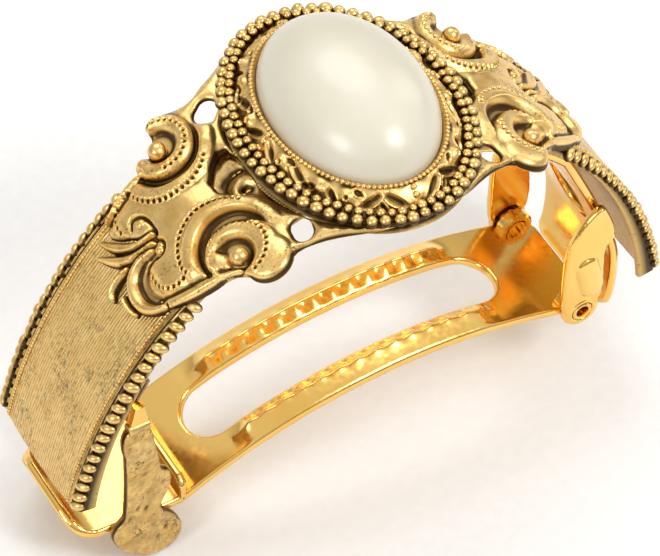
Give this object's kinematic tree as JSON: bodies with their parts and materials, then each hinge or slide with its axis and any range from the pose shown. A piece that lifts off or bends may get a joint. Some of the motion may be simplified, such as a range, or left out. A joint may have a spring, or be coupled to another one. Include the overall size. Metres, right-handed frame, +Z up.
{
  "type": "barrette",
  "caption": "Arched ponytail barrette with scroll ornament, beaded oval setting with a pearl cabochon, and a hinged slotted clip arm held by a sprung clasp.",
  "frame": {"origin": "centre of the bounding box at its bottom, level with the undersides of the clasp feet", "axes": "+X along the clip towards the hinge, +Y across it, +Z up through the cabochon"},
  "size_m": [0.055, 0.0244, 0.0423],
  "materials": {
    "antique_gold": "antiqued gold plating with dark patina in the recesses",
    "gold_plate": "bright polished gold plating",
    "pearl": "ivory pearlescent gloss"
  },
  "bodies": {
    "ornament": {"band": "antique_gold", "edge_beads_left_near": "antique_gold", "edge_beads_left_far": "antique_gold", "edge_beads_right_near": "antique_gold", "edge_beads_right_far": "antique_gold", "scroll_left": "antique_gold", "scroll_right": "antique_gold", "scroll_balls_left": "antique_gold", "scroll_balls_right": "antique_gold", "setting_plate": "antique_gold", "leaf_border": "antique_gold", "outer_bead_ring": "antique_gold", "inner_bead_ring": "antique_gold", "bezel_cup": "antique_gold", "clasp_bridge": "antique_gold", "clasp_rivet": "antique_gold", "pearl_cabochon": "pearl", "clip_base": "gold_plate", "base_rivets": "gold_plate", "hinge_pin": "gold_plate"},
    "arm": {"arm": "gold_plate"},
    "clasp_leg_near": {"clasp_leg_near": "antique_gold"},
    "clasp_leg_far": {"clasp_leg_far": "antique_gold"}
  },
  "joints": [
    {"name": "arm_hinge", "type": "hinge", "parent": "ornament", "child": "arm", "pos_m": [0.0202, 0, 0.0078], "axis": [0, -1, 0], "range_deg": [0, 70]},
    {"name": "leg_flex_near", "type": "hinge", "parent": "ornament", "child": "clasp_leg_near", "pos_m": [-0.0216, -0.0062, 0.0169], "axis": [-1, 0, 0], "range_deg": [0, 6], "stiffness_Nm_per_rad": 0.02},
    {"name": "leg_flex_far", "type": "hinge", "parent": "ornament", "child": "clasp_leg_far", "pos_m": [-0.0216, 0.0062, 0.0169], "axis": [1, 0, 0], "range_deg": [0, 6], "stiffness_Nm_per_rad": 0.02}
  ]
}
